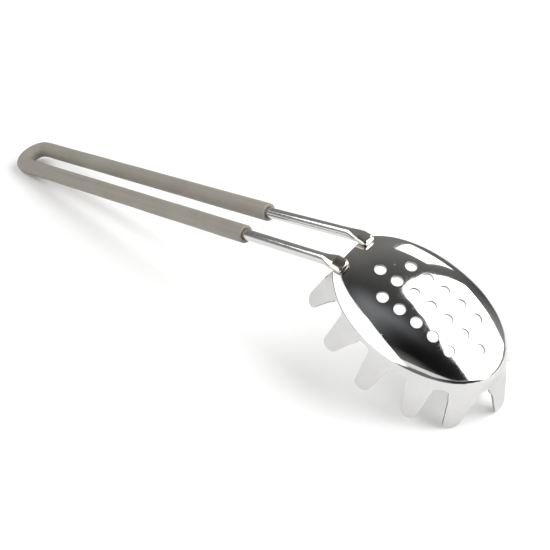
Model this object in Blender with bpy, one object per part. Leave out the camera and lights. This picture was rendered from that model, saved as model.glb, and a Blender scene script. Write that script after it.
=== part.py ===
"""Pasta server: a pressed steel head with tines, a hairpin wire handle and a soft grip sleeve.

Everything is modelled in the handle's own frame: the origin is the centre of the hairpin bend,
X runs along the two arms towards the head, Y is the side, Z is up from the handle's plane.
The empty called "stance" then lays the finished tool down as it rests on a table: on the bend
of its grip, on its nose tine and, rolled a little to one side, on the tine next to that one.
"""
import math

import bmesh
import bpy
from mathutils import Matrix, Vector

MM = 0.001

# ---- handle wire and grip, millimetres -------------------------------------------------------
WIRE_DIAMETER = 5.0
ARM_SPACING = 16.0          # centre to centre of the two arms, so the bend radius is half of it
GRIP_DIAMETER = 8.3
GRIP_REACH = 190.0          # from the bend's centre to the open ends of the sleeve
GRIP_CLEARANCE = 0.3        # between the wire and the sleeve's bore
BEND_STEPS = 14
WIRE_SIDES = 16
GRIP_SIDES = 20

# ---- how the tool lies: on the grip's bend, the nose tine and the next tine on the -Y side -----
INCLINE = math.radians(11.61)   # the handle rises towards the head
ROLL = math.radians(15.02)      # and the tool rolls onto its -Y side

# ---- flattened wire ends, spot welded on the back of the head --------------------------------
TAB_WIDTH = 7.0
TAB_THICKNESS = 2.8
TAB_START = -36.8           # where the flat begins, along the head's length axis
TAB_END = -30.2
TAB_OFFSET = 8.2            # half the distance between the two flats
TAB_SQUARENESS = 4.0        # 2 is a round section, larger is squarer
TAB_RUN_IN = 5.0            # length over which the round wire turns into the flat
WELD_GAP = 0.3

# ---- head: frame, dome and rim, millimetres --------------------------------------------------
HEAD_ORIGIN = (277.6, -15.2)    # X and Z of the middle of the hole pattern's axis
HEAD_TILT = math.radians(34.0)  # the head dips by this much below the handle
SHEET = 1.0
RIM_CENTRE = 2.2
RIM_HALF_LENGTH = 39.9
RIM_HALF_WIDTH = 26.9
RIM_DROP = 7.6                  # the rim's crease lies this far under the crown
CROWN_ALONG = 6.8               # part of the drop that grows with length squared
CROWN_ACROSS = 1.8              # part of the drop that grows with width squared
BACK_CUT = -34.4                # the straight back edge between the wires
BACK_LIFT = 0.9                 # how much flatter the back is than a plain dome
BACK_LIFT_START = -10.0
DOME_RINGS = (0.25, 0.5, 0.7, 0.85, 0.95, 1.0)
BACK_STEPS = 8

# ---- tines around the rim --------------------------------------------------------------------
TINE_FLARE = math.radians(20.5)
TINE_TIP_WIDTH = 6.3
TINE_FLATTEN = 4.0              # length over which the curved band turns into a flat tine
GAP_ROUND = 1.6                 # rounding of a gap's top corners
# From the nose to the back: distance of the tine's middle from the nose along the rim, width
# at its root, lean towards the back at its tip, and length from the crease to its tip.
# The first tine is on the nose, and the others stand in mirrored pairs.
TINES = ((0.0, 10.5, 0.0, 27.0), (15.6, 12.4, 3.1, 25.0), (33.4, 11.0, -0.8, 23.5),
         (51.6, 10.2, 1.0, 22.4), (68.9, 12.2, 2.8, 20.4), (87.9, 12.4, 2.2, 20.8))
GAP_DEPTHS = (6.0, 3.4, 3.2, 1.8, 0.8)  # crease to the top of each gap, from the nose back
TINE_COLUMNS = 4
GAP_COLUMNS = 4
TINE_ROWS = 4

# ---- drain holes -----------------------------------------------------------------------------
HOLE_DIAMETER = 5.1
HOLE_PITCH_ALONG = 8.4
HOLE_PITCH_ACROSS = 9.64
FIRST_HOLE = -19.2
HOLE_ROWS = ((-1, 1, 5), (0, 0, 7), (1, 1, 5))   # row, first hole, number of holes
HOLE_SIDES = 20


def material(name, colour, roughness, metallic):
    made = bpy.data.materials.new(name)
    made.use_nodes = True
    shader = made.node_tree.nodes["Principled BSDF"]
    shader.inputs["Base Color"].default_value = (*colour, 1.0)
    shader.inputs["Roughness"].default_value = roughness
    shader.inputs["Metallic"].default_value = metallic
    return made


def add_object(name, mesh_data, surface=None):
    """Turn a bmesh that was built in millimetres into a named object in metres."""
    bmesh.ops.scale(mesh_data, vec=(MM, MM, MM), verts=mesh_data.verts)
    bmesh.ops.recalc_face_normals(mesh_data, faces=mesh_data.faces)
    mesh = bpy.data.meshes.new(name)
    mesh_data.to_mesh(mesh)
    mesh_data.free()
    made = bpy.data.objects.new(name, mesh)
    bpy.context.collection.objects.link(made)
    if surface:
        mesh.materials.append(surface)
    return made


# ---- the head's surface ----------------------------------------------------------------------
def head_axes():
    along = Vector((math.cos(HEAD_TILT), 0.0, -math.sin(HEAD_TILT)))
    up = Vector((math.sin(HEAD_TILT), 0.0, math.cos(HEAD_TILT)))
    return along, Vector((0.0, 1.0, 0.0)), up


def from_head(along, across, height):
    """A point given in the head's frame, in the handle's frame."""
    length_axis, side_axis, up_axis = head_axes()
    origin = Vector((HEAD_ORIGIN[0], 0.0, HEAD_ORIGIN[1]))
    return origin + length_axis * along + side_axis * across + up_axis * height


def smooth(value):
    value = min(max(value, 0.0), 1.0)
    return value * value * (3.0 - 2.0 * value)


def dome_height(along, across):
    """Height of the outer skin. It is level, at -RIM_DROP, all along the rim's ellipse."""
    length_part = ((along - RIM_CENTRE) / RIM_HALF_LENGTH) ** 2
    width_part = (across / RIM_HALF_WIDTH) ** 2
    along_quartic = RIM_DROP - CROWN_ALONG
    across_quartic = RIM_DROP - CROWN_ACROSS
    drop = CROWN_ALONG * length_part + CROWN_ACROSS * width_part
    drop += along_quartic * length_part ** 2 + across_quartic * width_part ** 2
    drop += (along_quartic + across_quartic) * length_part * width_part
    lift = smooth((BACK_LIFT_START - along) / (BACK_LIFT_START - BACK_CUT))
    return BACK_LIFT * lift - drop


def dome_normal(along, across):
    step = 0.01
    slope_along = (dome_height(along + step, across) - dome_height(along - step, across)) / (2 * step)
    slope_across = (dome_height(along, across + step) - dome_height(along, across - step)) / (2 * step)
    length_axis, side_axis, up_axis = head_axes()
    return (up_axis - length_axis * slope_along - side_axis * slope_across).normalized()


def rim_table(steps=720):
    """Distance along the rim from the nose, for evenly spaced ellipse angles."""
    table = [(0.0, 0.0)]
    walked = 0.0
    last = (RIM_HALF_LENGTH, 0.0)
    for step in range(1, steps + 1):
        angle = math.pi * step / steps
        point = (RIM_HALF_LENGTH * math.cos(angle), RIM_HALF_WIDTH * math.sin(angle))
        walked += math.dist(point, last)
        table.append((walked, angle))
        last = point
    return table


RIM_TABLE = rim_table()


def rim_angle(distance):
    """Ellipse angle at a distance along the rim; negative distances are on the -Y side."""
    wanted = abs(distance)
    for (before, angle_before), (after, angle_after) in zip(RIM_TABLE, RIM_TABLE[1:]):
        if wanted <= after:
            share = (wanted - before) / (after - before)
            return math.copysign(angle_before + share * (angle_after - angle_before), distance)
    return math.copysign(math.pi, distance)


def rim_point(distance):
    """A rim point and its outward direction in the head's plane."""
    angle = rim_angle(distance)
    point = (RIM_CENTRE + RIM_HALF_LENGTH * math.cos(angle), RIM_HALF_WIDTH * math.sin(angle))
    outward = Vector((math.cos(angle) / RIM_HALF_LENGTH, math.sin(angle) / RIM_HALF_WIDTH))
    return point, outward.normalized()


def all_tines():
    """Every tine from the -Y side to the +Y side: its row of numbers, its place and root depths."""
    tines = []
    for number in range(-len(TINES) + 1, len(TINES)):
        sign = -1.0 if number < 0 else 1.0
        middle, width, lean, reach = TINES[abs(number)]
        depths = [GAP_DEPTHS[min(gap, len(GAP_DEPTHS) - 1)] + GAP_ROUND
                  for gap in (max(abs(number) - 1, 0), abs(number))]
        if sign < 0:
            depths.reverse()
        tines.append({"middle": sign * middle, "width": width, "lean": sign * lean,
                      "reach": reach, "depths": depths})
    return tines


def root_depth(tine, share):
    """Depth at which the tine leaves the band; share runs from -1 to 1 across the tine."""
    first, last = tine["depths"]
    return first + (last - first) * (share + 1.0) / 2


def band_point(distance, depth):
    """A point of the flared band, this far below the crease."""
    point, outward = rim_point(distance)
    reach = math.sin(TINE_FLARE) * depth
    along = point[0] + outward.x * reach
    across = point[1] + outward.y * reach
    return from_head(along, across, dome_height(*point) - math.cos(TINE_FLARE) * depth)


def tine_point(tine, share, depth, end):
    """A point of a tine below the band; end is this column's own length."""
    root = root_depth(tine, share)
    curved = band_point(tine["middle"] + share * tine["width"] / 2, depth)
    below = (depth - root) / (tine["reach"] - root)
    half = (tine["width"] + (TINE_TIP_WIDTH - tine["width"]) * below) / 2
    _, outward = rim_point(tine["middle"])
    length_axis, side_axis, _ = head_axes()
    sideways = side_axis * outward.x - length_axis * outward.y
    flat = band_point(tine["middle"], depth) + sideways * (share * half + tine["lean"] * below)
    return curved.lerp(flat, smooth((depth - root) / min(TINE_FLATTEN, end - root)))


def add_head(surface):
    """The outer skin as one sheet of quads; Solidify gives it the sheet's thickness."""
    mesh_data = bmesh.new()
    tines = all_tines()

    # Columns around the rim: (distance, depth at which the band ends in this column).
    columns = []
    for number, tine in enumerate(tines):
        for step in range(TINE_COLUMNS + 1):
            share = 2.0 * step / TINE_COLUMNS - 1.0
            columns.append((tine["middle"] + share * tine["width"] / 2, root_depth(tine, share)))
        if number + 1 < len(tines):
            following = tines[number + 1]
            start = tine["middle"] + tine["width"] / 2
            end = following["middle"] - following["width"] / 2
            for step in range(1, GAP_COLUMNS):
                share = 2.0 * step / GAP_COLUMNS - 1.0
                depth = tine["depths"][1] - GAP_ROUND * math.sqrt(1.0 - share * share)
                columns.append((start + (share + 1.0) / 2 * (end - start), depth))

    outline = [rim_point(distance)[0] for distance, _ in columns]
    corner = outline[-1][1]
    for step in range(1, BACK_STEPS):
        outline.append((BACK_CUT, corner * (1.0 - 2.0 * step / BACK_STEPS)))

    # Dome: rings between the middle and the outline.
    centre = mesh_data.verts.new(from_head(RIM_CENTRE, 0.0, dome_height(RIM_CENTRE, 0.0)))
    rings = []
    for size in DOME_RINGS:
        ring = []
        for along, across in outline:
            along = RIM_CENTRE + (along - RIM_CENTRE) * size
            ring.append(mesh_data.verts.new(from_head(along, across * size,
                                                      dome_height(along, across * size))))
        rings.append(ring)
    count = len(outline)
    for index in range(count):
        following = (index + 1) % count
        mesh_data.faces.new((centre, rings[0][index], rings[0][following]))
        for inner, outer in zip(rings, rings[1:]):
            mesh_data.faces.new((inner[index], outer[index], outer[following], inner[following]))

    # Band below the crease, in two rows.
    half_row = [mesh_data.verts.new(band_point(distance, depth / 2)) for distance, depth in columns]
    end_row = [mesh_data.verts.new(band_point(distance, depth)) for distance, depth in columns]
    for index in range(len(columns) - 1):
        for above, below in ((rings[-1], half_row), (half_row, end_row)):
            mesh_data.faces.new((above[index], below[index], below[index + 1], above[index + 1]))

    # Tines below the band, with rounded tips.
    stride = TINE_COLUMNS + GAP_COLUMNS
    for number, tine in enumerate(tines):
        last = end_row[number * stride:number * stride + TINE_COLUMNS + 1]
        for row in range(1, TINE_ROWS + 1):
            line = []
            for column in range(TINE_COLUMNS + 1):
                share = 2.0 * column / TINE_COLUMNS - 1.0
                rounding = TINE_TIP_WIDTH / 2 * (1.0 - math.sqrt(1.0 - share * share))
                end = tine["reach"] - rounding
                depth = root_depth(tine, share)
                depth += (end - depth) * row / TINE_ROWS
                line.append(mesh_data.verts.new(tine_point(tine, share, depth, end)))
            for column in range(TINE_COLUMNS):
                mesh_data.faces.new((last[column], line[column], line[column + 1], last[column + 1]))
            last = line

    head = add_object("slotted_head", mesh_data, surface)
    thickness = head.modifiers.new("sheet thickness", "SOLIDIFY")
    thickness.thickness = SHEET * MM
    thickness.offset = -1.0
    thickness.use_even_offset = True
    cut = head.modifiers.new("drain holes", "BOOLEAN")
    cut.operation = "DIFFERENCE"
    cut.solver = "EXACT"
    cut.object = add_hole_cutter()
    return head


def add_hole_cutter():
    mesh_data = bmesh.new()
    tilt = Matrix.Rotation(HEAD_TILT, 4, "Y")
    for row, first, number in HOLE_ROWS:
        for step in range(first, first + number):
            along = FIRST_HOLE + HOLE_PITCH_ALONG * step
            across = row * HOLE_PITCH_ACROSS
            place = Matrix.Translation(from_head(along, across, dome_height(along, across)))
            bmesh.ops.create_cone(mesh_data, cap_ends=True, segments=HOLE_SIDES,
                                  radius1=HOLE_DIAMETER / 2, radius2=HOLE_DIAMETER / 2,
                                  depth=8.0 * SHEET, matrix=place @ tilt)
    cutter = add_object("hole_cutter", mesh_data)
    cutter.hide_render = True
    cutter.display_type = "WIRE"
    return cutter


# ---- wire and sleeve -------------------------------------------------------------------------
def section_loop(mesh_data, centre, side, up, half_width, half_height, squareness, sides):
    """One closed ring of a swept body, round when squareness is 2."""
    ring = []
    for step in range(sides):
        angle = 2.0 * math.pi * (step + 0.5) / sides
        across = math.copysign(abs(math.cos(angle)) ** (2.0 / squareness), math.cos(angle))
        high = math.copysign(abs(math.sin(angle)) ** (2.0 / squareness), math.sin(angle))
        point = centre + side * (across * half_width) + up * (high * half_height)
        ring.append(mesh_data.verts.new(point))
    return ring


def join_rings(mesh_data, rings):
    for ring, following in zip(rings, rings[1:]):
        for index in range(len(ring)):
            after = (index + 1) % len(ring)
            mesh_data.faces.new((ring[index], ring[after], following[after], following[index]))


def hairpin_stations(reach):
    """Centres and side directions from the -Y arm's end, round the bend, to the +Y arm's end."""
    radius = ARM_SPACING / 2
    stations = [(Vector((reach, -radius, 0.0)), Vector((0.0, -1.0, 0.0)))]
    for step in range(BEND_STEPS + 1):
        angle = -math.pi / 2 - math.pi * step / BEND_STEPS
        outward = Vector((math.cos(angle), math.sin(angle), 0.0))
        stations.append((outward * radius, outward))
    stations.append((Vector((reach, radius, 0.0)), Vector((0.0, 1.0, 0.0))))
    return stations


def add_grip(surface):
    mesh_data = bmesh.new()
    up = Vector((0.0, 0.0, 1.0))
    stations = hairpin_stations(GRIP_REACH)
    skins = []
    for radius in (GRIP_DIAMETER / 2, WIRE_DIAMETER / 2 + GRIP_CLEARANCE):
        rings = [section_loop(mesh_data, centre, side, up, radius, radius, 2.0, GRIP_SIDES)
                 for centre, side in stations]
        join_rings(mesh_data, rings)
        skins.append(rings)
    outer, inner = skins
    join_rings(mesh_data, [outer[0], inner[0]])
    join_rings(mesh_data, [outer[-1], inner[-1]])
    return add_object("grip_sleeve", mesh_data, surface)


def tab_path(side_sign):
    """The flattened end's two centre points on the head's back, and the skin's normal there."""
    points = []
    for along in (TAB_START, TAB_END):
        across = side_sign * TAB_OFFSET
        normal = dome_normal(along, across)
        skin = from_head(along, across, dome_height(along, across))
        points.append(skin + normal * (WELD_GAP + TAB_THICKNESS / 2))
    return points, normal


def arm_rings(mesh_data, side_sign):
    """Rings of one bare arm, from inside the sleeve out to the flattened tip."""
    radius = WIRE_DIAMETER / 2
    (tab_start, tab_end), tab_up = tab_path(side_sign)
    leave = Vector((GRIP_REACH, side_sign * ARM_SPACING / 2, 0.0))
    way = (tab_start - leave).normalized()
    run_in = tab_start - way * TAB_RUN_IN
    round_up = Vector((0.0, 0.0, 1.0))
    side = Vector((0.0, side_sign, 0.0))
    rings = [section_loop(mesh_data, leave, side, round_up, radius, radius, 2.0, WIRE_SIDES)]
    for share in (0.0, 0.35, 0.7, 1.0):
        flat = smooth(share)
        up = round_up.lerp(tab_up, flat).normalized()
        level_side = (side - up * side.dot(up)).normalized()
        half_width = radius + (TAB_WIDTH / 2 - radius) * flat
        half_height = radius + (TAB_THICKNESS / 2 - radius) * flat
        squareness = 2.0 + (TAB_SQUARENESS - 2.0) * flat
        rings.append(section_loop(mesh_data, run_in.lerp(tab_start, share), level_side, up,
                                  half_width, half_height, squareness, WIRE_SIDES))
    level_side = (side - tab_up * side.dot(tab_up)).normalized()
    rings.append(section_loop(mesh_data, tab_end, level_side, tab_up, TAB_WIDTH / 2,
                              TAB_THICKNESS / 2, TAB_SQUARENESS, WIRE_SIDES))
    return rings


def add_wire(surface):
    mesh_data = bmesh.new()
    radius = WIRE_DIAMETER / 2
    up = Vector((0.0, 0.0, 1.0))
    near = arm_rings(mesh_data, -1.0)
    far = arm_rings(mesh_data, 1.0)
    bend = [section_loop(mesh_data, centre, side, up, radius, radius, 2.0, WIRE_SIDES)
            for centre, side in hairpin_stations(GRIP_REACH)[1:-1]]
    join_rings(mesh_data, near[::-1] + bend + far)
    mesh_data.faces.new(near[-1])
    mesh_data.faces.new(far[-1])
    return add_object("handle_wire", mesh_data, surface)


# ---- laying the tool down --------------------------------------------------------------------
def lay_down(pieces):
    """Roll and tip the pieces, then stand the centre of their footprint on the world's origin."""
    turn = Matrix.Rotation(-INCLINE, 4, "Y") @ Matrix.Rotation(ROLL, 4, "X")
    dependencies = bpy.context.evaluated_depsgraph_get()
    points = []
    for piece in pieces:
        skin = piece.evaluated_get(dependencies).to_mesh()
        points += [turn @ vertex.co for vertex in skin.vertices]
    lowest = Vector([min(point[axis] for point in points) for axis in range(3)])
    highest = Vector([max(point[axis] for point in points) for axis in range(3)])
    stance = bpy.data.objects.new("stance", None)
    bpy.context.collection.objects.link(stance)
    stance.rotation_euler = turn.to_euler()
    stance.location = (-(lowest.x + highest.x) / 2, -(lowest.y + highest.y) / 2, -lowest.z)
    for piece in pieces:
        piece.parent = stance
    bpy.data.objects["hole_cutter"].parent = stance


def main():
    for old in list(bpy.data.objects):
        bpy.data.objects.remove(old)
    steel = material("polished stainless steel", (0.62, 0.62, 0.62), 0.12, 1.0)
    drawn = material("drawn stainless wire", (0.60, 0.60, 0.60), 0.16, 1.0)
    silicone = material("warm grey silicone", (0.24, 0.225, 0.20), 0.62, 0.0)
    head = add_head(steel)
    wire = add_wire(drawn)
    grip = add_grip(silicone)
    bpy.context.view_layer.update()
    lay_down((head, wire, grip))


main()
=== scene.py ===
# %% [markdown]
# # A pasta server in pressed steel, drawn wire and silicone
#
# The tool has three pieces. A stainless blank is pressed into an oval bowl with a ring of
# tines and 17 drain holes. A hairpin of drawn wire is the handle, and its two flattened ends
# are spot welded to the back of the bowl. A silicone tube is pushed over the hairpin as the
# grip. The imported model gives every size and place, and each of its three solids is replaced
# here by a finer piece with a procedural finish.

# %% Load the fixed frame
import math

import bmesh
import bpy
from mathutils import Matrix, Vector


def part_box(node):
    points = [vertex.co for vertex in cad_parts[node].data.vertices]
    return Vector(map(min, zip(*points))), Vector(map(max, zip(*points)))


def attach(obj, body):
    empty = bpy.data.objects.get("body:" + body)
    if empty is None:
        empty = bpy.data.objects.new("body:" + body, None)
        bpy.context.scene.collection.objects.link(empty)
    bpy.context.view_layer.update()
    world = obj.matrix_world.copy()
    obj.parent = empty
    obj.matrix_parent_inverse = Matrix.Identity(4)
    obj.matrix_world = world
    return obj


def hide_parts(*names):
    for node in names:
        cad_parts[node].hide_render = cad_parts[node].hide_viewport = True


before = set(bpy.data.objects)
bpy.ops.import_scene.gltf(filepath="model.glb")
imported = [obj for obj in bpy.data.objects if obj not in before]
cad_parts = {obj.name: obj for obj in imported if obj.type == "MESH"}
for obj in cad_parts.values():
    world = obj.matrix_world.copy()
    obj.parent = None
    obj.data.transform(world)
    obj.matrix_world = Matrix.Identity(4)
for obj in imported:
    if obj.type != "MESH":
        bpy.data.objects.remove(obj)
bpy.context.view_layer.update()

print("frame nodes:", sorted(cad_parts))

# %% [markdown]
# ## How the tool lies
# A mirror image is easy to model straight and hard to model crooked. So each piece is made in
# the handle's own frame, in millimetres: the origin is the centre of the hairpin bend, X runs
# along the arms to the bowl, Y is the side and Z is up from the handle's plane. When it is
# finished it is laid down with one matrix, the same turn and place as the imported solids.

# %% The tool's resting place
MM = 0.001
INCLINE = math.radians(11.61)
ROLL = math.radians(15.02)
BEND_PLACE = Vector((-149.3617, -10.3745, 6.7002))
LAY_DOWN = (Matrix.Scale(MM, 4) @ Matrix.Translation(BEND_PLACE)
            @ Matrix.Rotation(-INCLINE, 4, "Y") @ Matrix.Rotation(ROLL, 4, "X"))
print("centre of the bend:", [round(value, 4) for value in LAY_DOWN @ Vector((0, 0, 0))])


# %% Small helpers for working on one piece
def object_mode():
    if bpy.context.mode != "OBJECT":
        bpy.ops.object.mode_set(mode="OBJECT")


def deselect_all():
    object_mode()
    bpy.ops.object.select_all(action="DESELECT")


def work_on(piece):
    deselect_all()
    piece.select_set(True)
    bpy.context.view_layer.objects.active = piece


def edit(piece):
    work_on(piece)
    bpy.ops.object.mode_set(mode="EDIT")
    bpy.ops.mesh.select_mode(type="VERT")


def select_points(piece, wanted):
    """Enter edit mode with only the points selected whose place passes the test."""
    edit(piece)
    bpy.ops.mesh.select_all(action="DESELECT")
    mesh = bmesh.from_edit_mesh(piece.data)
    for vertex in mesh.verts:
        vertex.select = wanted(vertex.co)
    mesh.select_flush(True)
    bmesh.update_edit_mesh(piece.data)


def make_normals_outward(piece, inside_point):
    """Merge doubles and turn all faces away from a point on the inner side of the skin."""
    edit(piece)
    bpy.ops.mesh.select_all(action="SELECT")
    bpy.ops.mesh.remove_doubles(threshold=0.0005)
    bpy.ops.mesh.normals_make_consistent(inside=False)
    object_mode()
    nearest = min(piece.data.polygons, key=lambda face: (face.center - inside_point).length)
    if nearest.normal.dot(nearest.center - inside_point) < 0.0:
        edit(piece)
        bpy.ops.mesh.select_all(action="SELECT")
        bpy.ops.mesh.flip_normals()
        object_mode()


def apply_modifier(piece, kind, **settings):
    work_on(piece)
    modifier = piece.modifiers.new(kind.lower(), kind)
    for name, value in settings.items():
        setattr(modifier, name, value)
    bpy.ops.object.modifier_apply(modifier=modifier.name)


def lay_down(piece, node):
    """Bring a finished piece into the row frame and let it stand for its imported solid."""
    work_on(piece)
    piece.matrix_world = LAY_DOWN
    bpy.ops.object.transform_apply(location=True, rotation=True, scale=True)
    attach(piece, "root")
    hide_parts(node)
    low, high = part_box(node)
    corners = [vertex.co for vertex in piece.data.vertices]
    inside = [min(min(point[axis] for point in corners) - low[axis],
                  high[axis] - max(point[axis] for point in corners)) for axis in range(3)]
    print(f"{piece.name}: {len(piece.data.polygons)} faces,",
          f"room inside the solid's box {[round(value / MM, 2) for value in inside]} mm")


def smooth(value):
    value = min(max(value, 0.0), 1.0)
    return value * value * (3.0 - 2.0 * value)


# %% [markdown]
# ## The grip sleeve
# The grip is one extruded silicone tube, bent round with the wire inside it. Sweeping a curve
# would do, but a spin shows better what happens: a circle is turned half way round the centre
# of the bend, and its two ends are then pulled out into straight arms. Solidify gives the tube
# its wall, and a bevel softens the cut lips. A real tube is never quite even, so the straight
# arms are pulled out in short steps that each wander by a few hundredths of a millimetre.

# %% Sizes of the hairpin and its grip, millimetres
WIRE_RADIUS = 2.5
ARM_HALF_SPACING = 8.0
GRIP_RADIUS = 4.15
GRIP_BORE = 2.56
GRIP_REACH = 190.0
BEND_STEPS = 40
ARM_STEPS = 38
GRIP_SIDES = 56


def start_ring(name, radius, sides):
    """A circle that stands across the -Y arm, where the straight arm meets the bend."""
    deselect_all()
    bpy.ops.mesh.primitive_circle_add(vertices=sides, radius=radius, fill_type="NOTHING",
                                      location=(0.0, -ARM_HALF_SPACING, 0.0),
                                      rotation=(0.0, math.pi / 2, 0.0))
    ring = bpy.context.object
    ring.name = ring.data.name = name
    bpy.ops.object.transform_apply(location=True, rotation=True, scale=True)
    return ring


def spin_bend(piece):
    """Turn the ring round the bend, from the -Y arm to the +Y arm."""
    edit(piece)
    bpy.ops.mesh.select_all(action="SELECT")
    bpy.ops.mesh.spin(steps=BEND_STEPS, angle=math.pi, center=(0.0, 0.0, 0.0),
                      axis=(0.0, 0.0, 1.0))
    object_mode()


def select_arm_end(piece, side):
    """Select the open ring where the straight arm on one side starts."""
    select_points(piece, lambda point: abs(point.x) < 0.001 and point.y * side > 0.0)


# %% Bunch the silicone inside the bend
BUNCH = 0.9             # how far the inner side of the bend swells, millimetres
BUNCH_END = 4.0         # the swelling has faded out here along the arms
BUNCH_FADE = 8.0


def bunch_inner_side(piece):
    """The tube is pushed together on the inner side of the bend, so it swells there."""
    for vertex in piece.data.vertices:
        point = vertex.co
        out = math.hypot(point.x, point.y)
        if point.x > BUNCH_END or out < 0.001:
            continue
        inward = max(0.0, (ARM_HALF_SPACING - out) / GRIP_RADIUS)
        along = smooth((BUNCH_END - point.x) / BUNCH_FADE)
        point.xy *= 1.0 - BUNCH * along * inward ** 2 / out


# %% Spin and pull out the sleeve
def wander(step, side):
    """How far the tube wanders off its line at a step, in two directions."""
    return (0.03 * math.sin(0.71 * step + side), 0.025 * math.sin(0.53 * step + 2.0 * side))


def pull_out_arm(piece, side):
    select_arm_end(piece, side)
    last = (0.0, 0.0)
    for step in range(1, ARM_STEPS + 1):
        place = wander(step, side) if step < ARM_STEPS else (0.0, 0.0)
        move = (GRIP_REACH / ARM_STEPS, place[0] - last[0], place[1] - last[1])
        bpy.ops.mesh.extrude_edges_move(TRANSFORM_OT_translate={"value": move})
        last = place
    object_mode()


grip = start_ring("grip_sleeve_tube", GRIP_RADIUS, GRIP_SIDES)
spin_bend(grip)
for arm_side in (-1.0, 1.0):
    pull_out_arm(grip, arm_side)
bunch_inner_side(grip)
make_normals_outward(grip, Vector((-ARM_HALF_SPACING, 0.0, 0.0)))
apply_modifier(grip, "SOLIDIFY", thickness=GRIP_RADIUS - GRIP_BORE, offset=-1.0)
apply_modifier(grip, "BEVEL", width=0.55, segments=5, limit_method="ANGLE",
               angle_limit=math.radians(50))
work_on(grip)
bpy.ops.object.shade_smooth()
print("sleeve reaches x =", round(max(vertex.co.x for vertex in grip.data.vertices), 2))

# %% [markdown]
# ## The hairpin wire
# The handle starts as 5 mm round wire. It is bent into a hairpin, and each end is squeezed
# flat between dies so that it can be spot welded to the bowl. The round part is spun and
# pulled out as the grip was. Each flat end is extruded ring by ring: every new ring is a
# little wider, lower and squarer than the one before, and turns to lie on the bowl's slope.

# %% Sizes of the bowl that the flat ends need, millimetres
HEAD_ORIGIN = Vector((277.6, 0.0, -15.2))
HEAD_TILT = math.radians(34.0)
HEAD_ALONG = Vector((math.cos(HEAD_TILT), 0.0, -math.sin(HEAD_TILT)))
HEAD_SIDE = Vector((0.0, 1.0, 0.0))
HEAD_UP = Vector((math.sin(HEAD_TILT), 0.0, math.cos(HEAD_TILT)))
SHEET = 1.0
RIM_CENTRE = 2.2
RIM_HALF_LENGTH = 39.9
RIM_HALF_WIDTH = 26.9
RIM_DROP = 7.6
CROWN_ALONG = 6.8
CROWN_ACROSS = 1.8
BACK_CUT = -34.4
BACK_LIFT = 0.9
BACK_LIFT_START = -10.0
STEELS = ("polished pressed steel", "sheared steel edge")

# %% Where the drain holes are punched
HOLE_DIAMETER = 4.75
HOLE_PITCH_ALONG = 8.4
HOLE_PITCH_ACROSS = 9.64
FIRST_HOLE = -19.2
HOLES = [(FIRST_HOLE + HOLE_PITCH_ALONG * step, row * HOLE_PITCH_ACROSS)
         for row, first, number in ((-1, 1, 5), (0, 0, 7), (1, 1, 5))
         for step in range(first, first + number)]
DIMPLE_DEPTH = 0.07     # the punch draws the sheet down a little round each hole
DIMPLE_REACH = 3.6
print(len(HOLES), "drain holes")


# %% The bowl's outer skin as a height over its own plane
def from_head(along, across, height):
    return HEAD_ORIGIN + HEAD_ALONG * along + HEAD_SIDE * across + HEAD_UP * height


def dome_height(along, across):
    length_part = ((along - RIM_CENTRE) / RIM_HALF_LENGTH) ** 2
    width_part = (across / RIM_HALF_WIDTH) ** 2
    along_quartic = RIM_DROP - CROWN_ALONG
    across_quartic = RIM_DROP - CROWN_ACROSS
    drop = CROWN_ALONG * length_part + CROWN_ACROSS * width_part
    drop += along_quartic * length_part ** 2 + across_quartic * width_part ** 2
    drop += (along_quartic + across_quartic) * length_part * width_part
    drop += sum(DIMPLE_DEPTH * math.exp(-((along - hole[0]) ** 2 + (across - hole[1]) ** 2)
                                        / DIMPLE_REACH ** 2) for hole in HOLES)
    lift = smooth((BACK_LIFT_START - along) / (BACK_LIFT_START - BACK_CUT))
    return BACK_LIFT * lift - drop


def dome_normal(along, across, step=0.02):
    slope_along = dome_height(along + step, across) - dome_height(along - step, across)
    slope_across = dome_height(along, across + step) - dome_height(along, across - step)
    return (HEAD_UP - HEAD_ALONG * slope_along / (2 * step)
            - HEAD_SIDE * slope_across / (2 * step)).normalized()


# %% Rings of the flattened wire end
TAB_START = -35.2
TAB_END = -30.4
TAB_OFFSET = 8.2
TAB_HALF_WIDTH = 3.45
TAB_HALF_HEIGHT = 1.25
TAB_WEDGE = 0.3         # how much deeper the flat is where it leaves the round wire
TAB_SQUARENESS = 2.6
TAB_RUN_IN = 6.0
TAB_LIFT = 0.1
TAB_NOSE = 1.8          # the last stretch, where the flat's end is rounded off
NOSE_NARROWS = 0.24     # shares of the flat's width and depth lost at the very end
NOSE_THINS = 0.20
WIRE_SIDES = 40
ROUND = 2.0             # squareness of a round section; a boxier one has more
ARM_RINGS, RUN_IN_RINGS, FLAT_RINGS = 8, 18, 22
ARM_SIDE = Vector((0.0, 1.0, 0.0))
ARM_UP = Vector((0.0, 0.0, 1.0))


def section(centre, side, up, half_width, half_height, squareness):
    """One ring of the wire, as a rounded box."""
    ring = []
    for step in range(WIRE_SIDES):
        angle = 2.0 * math.pi * (step + 0.5) / WIRE_SIDES
        across, high = (math.copysign(abs(value) ** (2.0 / squareness), value)
                        for value in (math.cos(angle), math.sin(angle)))
        ring.append(centre + side * (across * half_width) + up * (high * half_height))
    return ring


def round_section(centre):
    return section(centre, ARM_SIDE, ARM_UP, WIRE_RADIUS, WIRE_RADIUS, ROUND)


def turned_side(up):
    """The sideways direction of a ring that has been tipped to this up."""
    return (ARM_SIDE - up * ARM_SIDE.dot(up)).normalized()


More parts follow.
